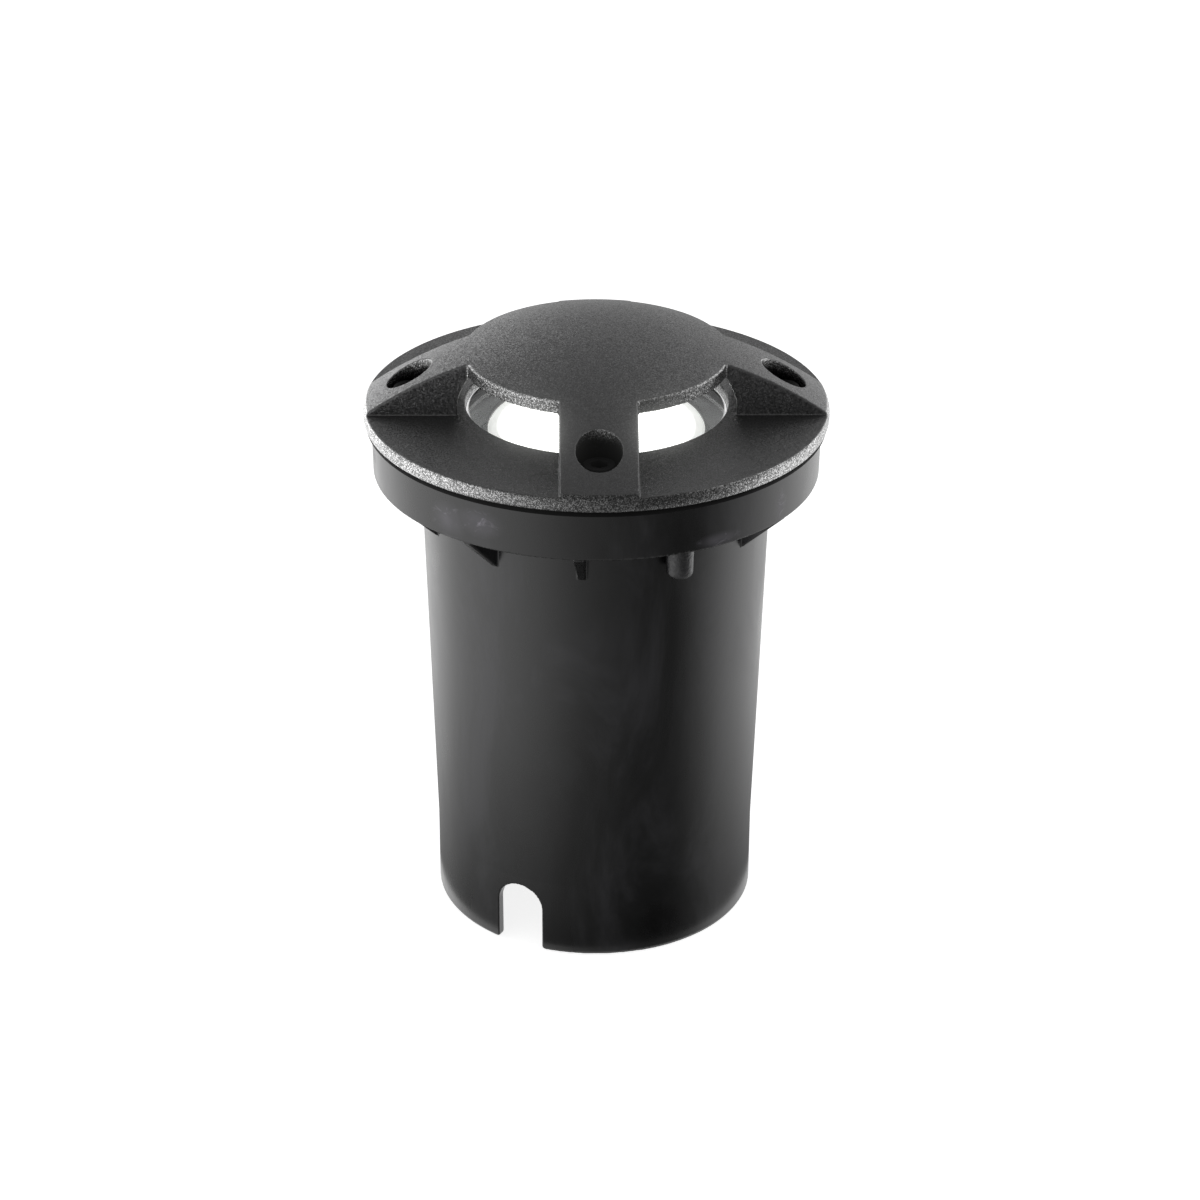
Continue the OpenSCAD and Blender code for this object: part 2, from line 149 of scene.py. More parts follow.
def loft(rings, segs, x=0.0, y=0.0):
    """Points and faces of a stack of rings (radius at each angle, z at each angle), closed at both ends."""
    t = 2 * np.pi * np.arange(segs) / segs
    co, faces = [], []
    for r, z in rings:
        r = np.broadcast_to(np.asarray(r, float), t.shape)
        z = np.broadcast_to(np.asarray(z, float), t.shape)
        co += list(zip(x + r * np.cos(t), y + r * np.sin(t), z))
    for i in range(len(rings) - 1):
        a, b = i * segs, (i + 1) * segs
        for k in range(segs):
            j = (k + 1) % segs
            faces.append((a + k, a + j, b + j, b + k))
    faces.append(tuple(range(segs - 1, -1, -1)))
    last = (len(rings) - 1) * segs
    faces.append(tuple(last + k for k in range(segs)))
    return co, faces


def join(parts):
    co, faces = [], []
    for c, f in parts:
        n = len(co)
        co += list(c)
        faces += [tuple(i + n for i in q) for q in f]
    return co, faces


# -------------------------------------------------- signed distance modelling

def poly_sdf(px, py, pts):
    d = (px - pts[0][0]) ** 2 + (py - pts[0][1]) ** 2
    neg = np.zeros(px.shape, bool)
    j = len(pts) - 1
    for i in range(len(pts)):
        ex, ey = pts[j][0] - pts[i][0], pts[j][1] - pts[i][1]
        wx, wy = px - pts[i][0], py - pts[i][1]
        t = np.clip((wx * ex + wy * ey) / (ex * ex + ey * ey), 0, 1)
        d = np.minimum(d, (wx - ex * t) ** 2 + (wy - ey * t) ** 2)
        c1, c2, c3 = py >= pts[i][1], py < pts[j][1], ex * wy > ey * wx
        neg ^= (c1 & c2 & c3) | (~c1 & ~c2 & ~c3)
        j = i
    d = np.sqrt(d)
    return np.where(neg, -d, d)


def inset(pts, d):
    """The polygon (counter-clockwise) with every side moved in by d."""
    out = []
    n = len(pts)
    for i in range(n):
        p0, p1, p2 = (np.array(pts[k], float) for k in ((i - 1) % n, i, (i + 1) % n))
        e1, e2 = p1 - p0, p2 - p1
        e1, e2 = e1 / np.hypot(*e1), e2 / np.hypot(*e2)
        n1, n2 = np.array([-e1[1], e1[0]]), np.array([-e2[1], e2[0]])
        out.append(tuple(p1 + (n1 + n2) * d / (1 + n1 @ n2)))
    return out


def rmax(a, b, r):
    """Both a and b, with their convex edge rounded to r."""
    return np.minimum(np.maximum(a, b), -r) + np.hypot(np.maximum(a + r, 0), np.maximum(b + r, 0))


def rmin(a, b, r):
    """a or b, with a fillet of r between them."""
    return np.maximum(np.minimum(a, b), r) - np.hypot(np.maximum(r - a, 0), np.maximum(r - b, 0))


def sdf_mesh(f, low, high, h, block=8):
    """Quads on the zero level of f(x, y, z), with each point and normal taken from f itself."""
    low, high = np.array(low, float) + 0.0137, np.array(high, float)
    B = block
    nb = np.ceil((high - low) / (h * B)).astype(int)
    bi = np.stack(np.meshgrid(*[np.arange(n) for n in nb], indexing="ij"), -1).reshape(-1, 3)
    c = low + (bi + 0.5) * h * B
    d = f(c[:, 0], c[:, 1], c[:, 2])
    bi = bi[np.abs(d) < h * B * 0.87 * 1.3 + h]
    g = np.arange(B + 1)
    off = np.stack(np.meshgrid(g, g, g, indexing="ij"), -1).reshape(-1, 3)
    N = nb * B + 2
    corner = np.array([(0, 0, 0), (1, 0, 0), (0, 1, 0), (1, 1, 0), (0, 0, 1), (1, 0, 1), (0, 1, 1), (1, 1, 1)])
    edges = [(a, b) for a in range(8) for b in range(a + 1, 8) if np.abs(corner[a] - corner[b]).sum() == 1]

    def cells_of(part):
        P = part[:, None, :] * B + off[None]
        X = (low + P * h).reshape(-1, 3)
        v = f(X[:, 0], X[:, 1], X[:, 2]).reshape(-1, B + 1, B + 1, B + 1)
        s = v < 0
        count = sum(s[:, dx:B + dx, dy:B + dy, dz:B + dz].astype(np.int8) for dx, dy, dz in corner)
        n, i, j, k = np.nonzero((count > 0) & (count < 8))
        cv = np.stack([v[n, i + dx, j + dy, k + dz] for dx, dy, dz in corner], 1)
        total, hits = np.zeros((len(n), 3)), np.zeros(len(n))
        for a, b in edges:
            va, vb = cv[:, a], cv[:, b]
            cross = (va < 0) != (vb < 0)
            t = np.where(cross, va / np.where(cross, va - vb, 1), 0)
            total += np.where(cross[:, None], corner[a] + t[:, None] * (corner[b] - corner[a]), 0)
            hits += cross
        cell = part[n] * B + np.stack([i, j, k], 1)
        return (low + (cell + total / hits[:, None]) * h, (cell[:, 0] * N[1] + cell[:, 1]) * N[2] + cell[:, 2],
                np.stack([cv[:, 0] < 0, cv[:, 1] < 0, cv[:, 2] < 0, cv[:, 4] < 0], 1))

    with ThreadPoolExecutor(4) as pool:
        points, ids, crossings = zip(*pool.map(cells_of, [bi[i:i + 96] for i in range(0, len(bi), 96)]))
    points, ids, crossings = np.concatenate(points), np.concatenate(ids), np.concatenate(crossings)
    order = np.argsort(ids)
    points, ids, crossings = points[order], ids[order], crossings[order]
    steps = (N[1] * N[2], N[2], 1)
    quads = []
    for axis in range(3):
        u, w = steps[(axis + 1) % 3], steps[(axis + 2) % 3]
        inside, beyond = crossings[:, 0], crossings[:, 1 + axis]
        here = np.nonzero(inside != beyond)[0]
        near = np.stack([ids[here], ids[here] - u, ids[here] - u - w, ids[here] - w], 1)
        at = np.searchsorted(ids, near)
        ok = (at < len(ids)).all(1)
        at[~ok] = 0
        ok &= (ids[at] == near).all(1)
        q, out = at[ok], inside[here][ok]
        q[~out] = q[~out][:, ::-1]
        quads.append(q)
    quads = np.concatenate(quads)
    points, slope = settle(f, points, h / 2)
    return points, quads, slope


def settle(f, points, most):
    """Moves points onto the zero level of f, and gives them their normals."""

    def run(P):
        slope = None
        for turn in range(5):
            if turn in (0, 2):
                value, slope = gradient(f, P)
                size = np.maximum((slope ** 2).sum(1), 0.25)[:, None]
            else:
                value = f(P[:, 0], P[:, 1], P[:, 2])
            P = P - np.clip(value[:, None] * slope / size, -most, most)
        slope = gradient(f, P)[1]
        return P, slope / np.maximum(np.linalg.norm(slope, axis=1), 1e-9)[:, None]

    with ThreadPoolExecutor(4) as pool:
        P, slope = zip(*pool.map(run, [points[i:i + 30000] for i in range(0, len(points), 30000)]))
    return np.concatenate(P), np.concatenate(slope)


def gradient(f, P, e=0.02):
    x, y, z = P[:, 0], P[:, 1], P[:, 2]
    gx = f(x + e, y, z) - f(x - e, y, z)
    gy = f(x, y + e, z) - f(x, y - e, z)
    gz = f(x, y, z + e) - f(x, y, z - e)
    return f(x, y, z), np.stack([gx, gy, gz], 1) / (2 * e)


def sdf_piece(name, f, low, high, h, keep, body, material):
    """A piece from f, thinned to the share keep of its faces, with normals from f."""
    points, quads, normals = sdf_mesh(f, low, high, h)
    ob = add_mesh(name, points, quads, body, material)
    if keep < 1:
        mod = ob.modifiers.new("thin", "DECIMATE")
        mod.ratio = keep
        dg = bpy.context.evaluated_depsgraph_get()
        thin = bpy.data.meshes.new_from_object(ob.evaluated_get(dg))
        ob.modifiers.clear()
        old = ob.data
        ob.data = thin
        thin.name = name
        bpy.data.meshes.remove(old)
        co = np.empty(len(thin.vertices) * 3, np.float32)
        thin.vertices.foreach_get("co", co)
        points = co.reshape(-1, 3).astype(float) / MM
        points, normals = settle(f, points, h / 3)
        thin.vertices.foreach_set("co", (points * MM).astype(np.float32).ravel())
        thin.update()
        thin.shade_smooth()
        thin.normals_split_custom_set_from_vertices(normals.tolist())
    else:
        ob.data.normals_split_custom_set_from_vertices(normals.tolist())
    return ob


# ---------------------------------------------------------------- materials

class Nodes:
    """A material's node tree, with short ways to add and join nodes."""

    def __init__(self, name):
        self.mat = bpy.data.materials.new(name)
        self.mat.use_nodes = True
        self.tree = self.mat.node_tree
        self.shader = self.tree.nodes["Principled BSDF"]
        self.coord = self.add("ShaderNodeTexCoord").outputs["Object"]

    def add(self, kind, **settings):
        node = self.tree.nodes.new(kind)
        for key, value in settings.items():
            setattr(node, key, value)
        return node

    def link(self, a, b):
        self.tree.links.new(a, b)

    def set(self, **values):
        for key, value in values.items():
            socket = self.shader.inputs[key.replace("_", " ")]
            if isinstance(value, bpy.types.NodeSocket):
                self.link(value, socket)
            else:
                socket.default_value = value

    def noise(self, scale, detail=3.0, rough=0.55, vector=None, distortion=0.0, out="Fac"):
        n = self.add("ShaderNodeTexNoise")
        n.inputs["Scale"].default_value = scale
        n.inputs["Detail"].default_value = detail
        n.inputs["Roughness"].default_value = rough
        n.inputs["Distortion"].default_value = distortion
        self.link(vector or self.coord, n.inputs["Vector"])
        return n.outputs[out]

    def cells(self, scale, out="Color", feature="F1", vector=None, randomness=1.0):
        n = self.add("ShaderNodeTexVoronoi", feature=feature)
        n.inputs["Scale"].default_value = scale
        n.inputs["Randomness"].default_value = randomness
        self.link(vector or self.coord, n.inputs["Vector"])
        return n.outputs[out]

    def ramp(self, value, stops, mode="LINEAR"):
        n = self.add("ShaderNodeValToRGB")
        n.color_ramp.interpolation = mode
        e = n.color_ramp.elements
        while len(e) < len(stops):
            e.new(0.5)
        for item, (pos, col) in zip(e, stops):
            item.position = pos
            item.color = (*col, 1) if isinstance(col, tuple) else (col, col, col, 1)
        self.link(value, n.inputs["Fac"])
        return n.outputs["Color"]

    def math(self, op, a, b=None, clamp=False):
        n = self.add("ShaderNodeMath", operation=op, use_clamp=clamp)
        for i, v in enumerate((a, b)):
            if v is None:
                continue
            if isinstance(v, (int, float)):
                n.inputs[i].default_value = v
            else:
                self.link(v, n.inputs[i])
        return n.outputs[0]

    def vmath(self, op, a, b=None, scale=None):
        n = self.add("ShaderNodeVectorMath", operation=op)
        for i, v in enumerate((a, b)):
            if v is None:
                continue
            if isinstance(v, (tuple, list)):
                n.inputs[i].default_value = v
            else:
                self.link(v, n.inputs[i])
        if scale is not None:
            if isinstance(scale, (int, float)):
                n.inputs["Scale"].default_value = scale
            else:
                self.link(scale, n.inputs["Scale"])
        return n.outputs[0]

    def mix(self, fac, a, b, kind="RGBA"):
        n = self.add("ShaderNodeMix", data_type=kind)
        sockets = [s for s in n.inputs if s.enabled]
        for socket, v in zip(sockets, (fac, a, b)):
            if isinstance(v, (int, float)):
                socket.default_value = v if socket.type == "VALUE" else (v, v, v, 1)
            elif isinstance(v, tuple):
                socket.default_value = (*v, 1)
            else:
                self.link(v, socket)
        return [s for s in n.outputs if s.enabled][0]

    def bump(self, height, strength, distance, normal=None):
        n = self.add("ShaderNodeBump")
        n.inputs["Strength"].default_value = strength
        n.inputs["Distance"].default_value = distance
        self.link(height, n.inputs["Height"])
        if normal is not None:
            self.link(normal, n.inputs["Normal"])
        return n.outputs["Normal"]

    def axis(self, i):
        n = self.add("ShaderNodeSeparateXYZ")
        self.link(self.coord, n.inputs[0])
        return n.outputs[i]


def powder_coat():
    """Fine-textured anthracite powder coat with metal flakes, its colour carrying a painted highlight on the outer
    edges and painted shade down the screw holes.
    """
    m = Nodes("powder_coat")
    grain = m.noise(4200, 2.0, 0.6)
    patch = m.noise(30, 2.0, 0.5)
    tint = m.ramp(patch, [(0.3, (0.122, 0.122, 0.123)), (0.7, (0.137, 0.137, 0.138))])
    speck = m.ramp(m.cells(5200, "Color"), [(0.0, 0.8), (0.5, 1.0), (1.0, 1.25)])
    base = m.add("ShaderNodeMix", data_type="RGBA", blend_type="MULTIPLY")
    sockets = [s for s in base.inputs if s.enabled]
    sockets[0].default_value = 1.0
    m.link(tint, sockets[1])
    m.link(speck, sockets[2])
    colour = [s for s in base.outputs if s.enabled][0]
    # the coat is coarser on the outer edges of the flange and of the canopy, with glittering flakes; their colour is
    # also a painted highlight, lighter at the left and right sides where the studio light falls, and on the canopy's
    # edge
    flat = m.vmath("MULTIPLY", m.coord, (1, 1, 0))
    n = m.add("ShaderNodeVectorMath", operation="LENGTH")
    m.link(flat, n.inputs[0])
    radius = m.math("MULTIPLY", n.outputs["Value"], 10.0)
    bands = m.ramp(radius, [(0.325, 0.0), (0.33, 1.0), (0.36, 1.0), (0.365, 0.0), (0.585, 0.0), (0.594, 1.0)])
    n = m.add("ShaderNodeVectorMath", operation="DOT_PRODUCT")
    m.link(m.add("ShaderNodeNewGeometry").outputs["Normal"], n.inputs[0])
    m.link(m.vmath("NORMALIZE", flat), n.inputs[1])
    edge = m.math("MULTIPLY", bands, m.ramp(m.math("ABSOLUTE", n.outputs["Value"]), [(0.55, 0.0), (0.8, 1.0)]))
    flakes_and_sheen = m.ramp(m.cells(4600, "Color"), [(0.0, 0.09), (0.5, 0.14), (0.64, 0.38), (0.85, 0.7)])
    across = m.math("MULTIPLY", m.math("ABSOLUTE", m.axis(0)), 1 / 0.06)
    # painted highlight: the flakes are painted paler towards the left and right sides, where the studio light falls,
    # and on the canopy's edge, standing for the light that falls on it
    painted_side_sheen = m.ramp(across, [(0.0, 0.22), (0.22, 0.26), (0.5, 0.5), (0.72, 0.8), (0.95, 0.78)])
    canopy = m.ramp(radius, [(0.36, 0.62), (0.5, 0.0)])
    flakes_and_sheen = m.vmath("SCALE", flakes_and_sheen, scale=m.math("MULTIPLY", m.math("MAXIMUM", painted_side_sheen, canopy), 1.65))
    colour = m.mix(edge, colour, flakes_and_sheen)
    # painted shade: the colour goes nearly black with depth down the deep screw holes, where shade falls
    fold = m.vmath("ABSOLUTE", m.vmath("MULTIPLY", m.coord, (1, 1, 0)))
    near = []
    for axis in ((0.048, 0, 0), (0, 0.048, 0)):
        n = m.add("ShaderNodeVectorMath", operation="DISTANCE")
        m.link(fold, n.inputs[0])
        n.inputs[1].default_value = axis
        near.append(n.outputs["Value"])
    hole = m.math("LESS_THAN", m.math("MINIMUM", *near), 0.00583)
    n = m.add("ShaderNodeVectorMath", operation="DISTANCE")
    m.link(m.coord, n.inputs[0])
    n.inputs[1].default_value = (0, 0, (BASE + CROWN_H - CROWN_R) * MM)
    depth = m.math("MULTIPLY", m.math("SUBTRACT", CROWN_R * MM, n.outputs["Value"]), 100.0)
    hole_shade_depth = m.ramp(m.math("SUBTRACT", depth, m.math("MULTIPLY", m.noise(900, 2.0), 0.1)), [(0.0, 0.0), (0.18, 0.9), (0.3, 0.985)])
    painted_hole_shade = m.mix(hole_shade_depth, m.vmath("SCALE", flakes_and_sheen, scale=1.1), (0.002, 0.002, 0.002))
    colour = m.mix(hole, colour, painted_hole_shade)
    geo = m.add("ShaderNodeNewGeometry").outputs["Normal"]
    tilt = m.vmath("SUBTRACT", m.cells(4000), (0.5, 0.5, 0.5))
    tilt = m.vmath("SCALE", tilt, scale=m.math("SUBTRACT", 0.42, m.math("MULTIPLY", edge, 0.2)))
    tilted = m.vmath("NORMALIZE", m.vmath("ADD", geo, tilt))
    normal = m.bump(grain, 0.35, 0.00006, tilted)
    m.set(Base_Color=colour, Metallic=0.9,
          Roughness=m.math("SUBTRACT", m.ramp(grain, [(0.3, 0.34), (0.7, 0.46)]), m.math("MULTIPLY", edge, 0.13)),
          IOR=1.5, Normal=normal)
    return m.mat


def sleeve_plastic():
    """Black moulded plastic: faint flow marks, dull patches, and pale rubbed places on the collar."""
    m = Nodes("black_moulded_plastic")
    stretched = m.vmath("MULTIPLY", m.coord, (1, 1, 0.35))
    flow = m.noise(26, 4.0, 0.6, stretched, 0.4)
    fine = m.noise(900, 2.0, 0.5)
    rubbed = None
    for az, z, wide, high in SCUFFS:
        a = math.radians(az)
        n = m.add("ShaderNodeVectorMath", operation="LENGTH")
        off = m.vmath("SUBTRACT", m.coord, (0.058 * math.sin(a), -0.058 * math.cos(a), z * MM))
        m.link(m.vmath("MULTIPLY", off, (1 / (wide * MM), 1 / (wide * MM), 1 / (high * MM))), n.inputs[0])
        spot = m.ramp(m.math("MULTIPLY", n.outputs["Value"], 0.5), [(0.0, 1.0), (0.5, 0.0)], "EASE")
        rubbed = spot if rubbed is None else m.math("MAXIMUM", rubbed, spot)
    streaks = m.noise(190, 4.0, 0.65, m.vmath("MULTIPLY", m.coord, (1, 1, 1.8)), 1.0)
    soft = m.math("MULTIPLY", rubbed, m.ramp(m.noise(70, 3.0, 0.6), [(0.3, 0.25), (0.65, 1.0)]))
    sharp = m.math("MULTIPLY", soft, m.ramp(streaks, [(0.55, 0.0), (0.68, 1.0)]))
    clouds = m.noise(48, 5.0, 0.65, stretched, 0.6)
    dark = m.ramp(clouds, [(0.36, (0.001, 0.001, 0.001)), (0.5, (0.006, 0.006, 0.0065)), (0.66, (0.021, 0.0207, 0.0232))])
    colour = m.mix(m.math("MULTIPLY", soft, 0.75), dark, (0.12, 0.113, 0.132))
    colour = m.mix(m.math("MULTIPLY", sharp, 0.65), colour, (0.4, 0.38, 0.44))
    rough = m.math("ADD", m.ramp(clouds, [(0.3, 0.23), (0.7, 0.37)]), m.math("MULTIPLY", soft, 0.15))
    height = m.math("ADD", m.math("MULTIPLY", flow, 0.6), m.math("MULTIPLY", fine, 0.06))
    # crinkled skin on the two bosses
    near = []
    for az in (BOSS_AZ, BOSS_AZ + 180):
        a = math.radians(az)
        n = m.add("ShaderNodeVectorMath", operation="DISTANCE")
        m.link(m.vmath("MULTIPLY", m.coord, (1, 1, 0)), n.inputs[0])
        n.inputs[1].default_value = (0.0495 * math.sin(a), -0.0495 * math.cos(a), 0)
        near.append(n.outputs["Value"])
    boss = m.math("MULTIPLY", m.math("LESS_THAN", m.math("MINIMUM", *near), 0.0042), m.math("LESS_THAN", m.axis(2), 0.1238))
    crinkle = m.noise(650, 3.0, 0.6, m.vmath("MULTIPLY", m.coord, (1, 1, 1.6)), 0.8)
    height = m.math("ADD", height, m.math("MULTIPLY", boss, m.math("MULTIPLY", crinkle, 9.0)))
    m.set(Base_Color=colour, Roughness=rough, IOR=1.5, Normal=m.bump(height, 0.3, 0.0001))
    return m.mat


def rubber(name="black_rubber", level=0.012, shine=0.5):
    m = Nodes(name)
    m.shader.inputs["Specular IOR Level"].default_value = shine
    n = m.noise(700, 3.0, 0.6)
    m.set(Base_Color=m.ramp(n, [(0.2, level * 0.8), (0.8, level * 1.25)]),
          Roughness=m.ramp(m.noise(150, 2.0), [(0.3, 0.55), (0.7, 0.72)]), IOR=1.5,
          Normal=m.bump(n, 0.2, 0.00005))
    return m.mat


def moulded(name, colour, rough=0.45, vary=0.12, grain=0.2, shine=0.5):
    """Plain moulded plastic with slight mottling and a fine spark-eroded grain."""
    m = Nodes(name)
    m.shader.inputs["Specular IOR Level"].default_value = shine
    n = m.noise(60, 3.0, 0.6)
    lo = tuple(c * (1 - vary) for c in colour)
    hi = tuple(min(1, c * (1 + vary)) for c in colour)
    m.set(Base_Color=m.ramp(n, [(0.3, lo), (0.7, hi)]),
          Roughness=m.ramp(m.noise(220, 2.0), [(0.3, rough - 0.05), (0.7, rough + 0.07)]), IOR=1.5,
          Normal=m.bump(m.noise(1500, 2.0), grain, 0.00004))
    return m.mat


def metal(name, colour, rough=0.3, brushed=False, cast=False):
    m = Nodes(name)
    vec = m.vmath("MULTIPLY", m.coord, (1, 1, 30)) if brushed else None
    n = m.noise(180 if cast else 420, 4.0, 0.65, vec)
    lo = tuple(c * 0.82 for c in colour)
    hi = tuple(min(1, c * 1.1) for c in colour)
    m.set(Base_Color=m.ramp(n, [(0.3, lo), (0.7, hi)]), Metallic=1.0,
          Roughness=m.ramp(m.noise(90, 3.0), [(0.3, rough - 0.06), (0.7, rough + 0.1)]),
          Normal=m.bump(n, 0.5 if cast else 0.15, 0.0002 if cast else 0.00004))
    return m.mat


def clear_glass():
    """Clear glass, whose raised part has a ground edge; the edge also carries a painted glow, emission standing for
    the light it catches from below.
    """
    m = Nodes("clear_glass")
    flat = m.vmath("MULTIPLY", m.coord, (1, 1, 0))
    n = m.add("ShaderNodeVectorMath", operation="LENGTH")
    m.link(flat, n.inputs[0])
    out = m.ramp(m.math("MULTIPLY", n.outputs["Value"], 10.0), [(0.3285, 0.0), (0.331, 1.0), (0.336, 1.0), (0.338, 0.0)])
    top = m.ramp(m.math("MULTIPLY", m.axis(2), 5.0), [(0.684, 0.0), (0.688, 1.0)])
    ground_and_glow = m.math("MULTIPLY", m.math("MULTIPLY", out, top), m.ramp(m.noise(500, 3.0), [(0.3, 0.75), (0.6, 1.0)]))
    # the ground edge is partly real frosting and partly a painted glow: its emission stands for the lamp light
    # falling on it
    m.set(Base_Color=m.mix(ground_and_glow, (0.97, 0.995, 0.985), (0.9, 0.9, 0.9)), IOR=1.52,
          Transmission_Weight=m.math("SUBTRACT", 1.0, m.math("MULTIPLY", ground_and_glow, 0.85)),
          Roughness=m.math("ADD", m.ramp(m.noise(40, 2.0), [(0.35, 0.0), (0.8, 0.012)]), m.math("MULTIPLY", ground_and_glow, 0.5)),
          Emission_Strength=m.math("MULTIPLY", ground_and_glow, 0.75))
    m.shader.inputs["Emission Color"].default_value = (1, 1, 1, 1)
    return m.mat


def lit_disc():
    """Opal diffuser, lit from behind: even in the middle, a little duller towards its edge."""
    m = Nodes("lit_opal_diffuser")
    flat = m.vmath("MULTIPLY", m.coord, (1, 1, 0))
    n = m.add("ShaderNodeVectorMath", operation="LENGTH")
    m.link(flat, n.inputs[0])
    glow = m.ramp(m.math("MULTIPLY", n.outputs["Value"], 1 / 0.03),
                  [(0.0, 1.0), (0.8, 1.0), (0.845, 0.33), (0.9, 0.3), (0.93, 0.27)])
    m.set(Base_Color=(0.9, 0.9, 0.9, 1), Roughness=m.ramp(m.noise(300, 2.0), [(0.3, 0.4), (0.7, 0.5)]))
    m.shader.inputs["Emission Color"].default_value = (1, 0.985, 0.96, 1)
    m.link(m.math("MULTIPLY", glow, 2.4), m.shader.inputs["Emission Strength"])
    return m.mat


MAT = {
    "cover_paint": powder_coat(),
    "cast_aluminium": metal("cast_housing", (0.36, 0.37, 0.38), 0.42, cast=True),
    "black_plastic": sleeve_plastic(),
    "clear_glass": clear_glass(),
    "opal_diffuser": lit_disc(),
    "dark_ring": metal("dark_reflector_ring", (0.07, 0.07, 0.072), 0.26),
    # nearly black and dull: painted shade, so that the gasket reads as the shaded gap under the flange
    "black_rubber": rubber(level=0.004, shine=0.08),
    "grey_silicone": rubber("grey_silicone", 0.06),
    "white_reflector": moulded("white_reflector", (0.82, 0.82, 0.82), 0.3, 0.03),
    "emitter_gel": moulded("emitter_gel", (0.9, 0.66, 0.1), 0.2, 0.06),
    "board_white": moulded("board_white", (0.8, 0.8, 0.77), 0.35, 0.04),
    "pad_grey": rubber("thermal_pad", 0.25),
    "bare_aluminium": metal("turned_aluminium", (0.76, 0.77, 0.78), 0.28, brushed=True),
    "driver_case": moulded("driver_case", (0.75, 0.75, 0.72), 0.5, 0.05),
    "terminal_plastic": moulded("terminal_plastic", (0.8, 0.77, 0.7), 0.4, 0.05),
    "brown_insulation": moulded("brown_insulation", (0.13, 0.05, 0.02), 0.4),
    "blue_insulation": moulded("blue_insulation", (0.02, 0.07, 0.35), 0.4),
    "earth_insulation": moulded("earth_insulation", (0.2, 0.38, 0.03), 0.4),
    "red_insulation": moulded("red_insulation", (0.45, 0.02, 0.015), 0.4),
    "stainless": metal("stainless_steel", (0.62, 0.62, 0.63), 0.25, brushed=True),
    "black_steel": moulded("blackened_steel", (0.008, 0.008, 0.0085), 0.5, shine=0.12),
    "tinned_steel": metal("tinned_steel", (0.7, 0.69, 0.66), 0.3),
    "gland_plastic": moulded("gland_plastic", (0.016, 0.016, 0.017), 0.42),
    "slip_plastic": moulded("slip_plastic", (0.6, 0.6, 0.58), 0.4),
}
SLOT_OF = {s["node"]: s["material_slot"] for s in frame["record"]["subparts"]}
for name, ob in NODES.items():
    ob.data.materials.clear()
    ob.data.materials.append(MAT[SLOT_OF[name]])


# -------------------------------------------------------------------- cover

CROWN_Z = CROWN_H - CROWN_R
HOLLOW = [(0, -3.0), (36.8, -3.0), (36.8, 6.5), (36.65, 8.0), (36.1, 9.8), (35.2, 11.9), (34.1, 14.0),
          (32.6, 16.2), (30.4, 18.4), (27.5, 20.2), (0, 26)]
FLANGE = [(30, 0), (59.8, 0), (60.0, 1.0), (60.0, 2.5), (59.7, 3.72), (30, 3.72)]
FLANGE_IN = inset(FLANGE, 0.45)


def cover_sdf(x, y, z):
    z = z - BASE
    r = np.hypot(x, y)
    ax, ay = np.abs(x), np.abs(y)
    sphere = np.sqrt(r * r + (z - CROWN_Z) ** 2)
    flange = rmax(poly_sdf(r, z, FLANGE_IN) - 0.45, 33.85 - r, 0.3)
    plan = rmin(np.minimum(ax, ay) - 9.75, r - 34.1, 0.7)
    crown = rmax(plan, sphere - CROWN_R, 0.5)
    crown = rmax(crown, r - 59.55, 0.45)
    crown = np.maximum(crown, 1.2 - z)
    hollow = np.maximum(poly_sdf(r, z, HOLLOW), sphere - (CROWN_R - CANOPY_T))
    crown = rmax(crown, -hollow, 0.28)
    body = rmin(flange, crown, 0.3)
    hole = np.minimum(np.hypot(ax - 48, ay), np.hypot(ax, ay - 48))
    body = rmax(body, -np.maximum(hole - 5.75, 1.8 - z), 0.3)
    return rmax(body, 2.8 - hole, 0.2)


top_cover = sdf_piece("cover_casting", cover_sdf, (-61, -61, 137), (61, 61, 163), 0.36, 0.42,
                      "cover", MAT["cover_paint"])
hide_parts("top_cover")

# ------------------------------------------------------------------- sleeve

SLEEVE = [(41.9, 0), (42.42, 0.9), (42.45, 21), (45.5, 124), (57.75, 124), (58.0, 136.6), (55.2, 136.6),
          (55.2, 127), (42.9, 127), (42.9, 124), (39.85, 21), (39.7, 0)]
SLEEVE_IN = inset(SLEEVE, 0.3)
GUSSET = inset([(43.6, 112.8), (45.7, 112.8), (56.9, 123.3), (56.9, 124.6), (43.6, 124.6)], 0.25)


def tube_radius(z):
    return np.where(z < 21, 42.3 + 0.15 * z / 21, 42.45 + 3.05 * (z - 21) / 103)


def turned(x, y, az):
    """(tangential, radial) coordinates at an azimuth."""
    a = math.radians(az)
    return x * math.cos(a) + y * math.sin(a), x * math.sin(a) - y * math.cos(a)


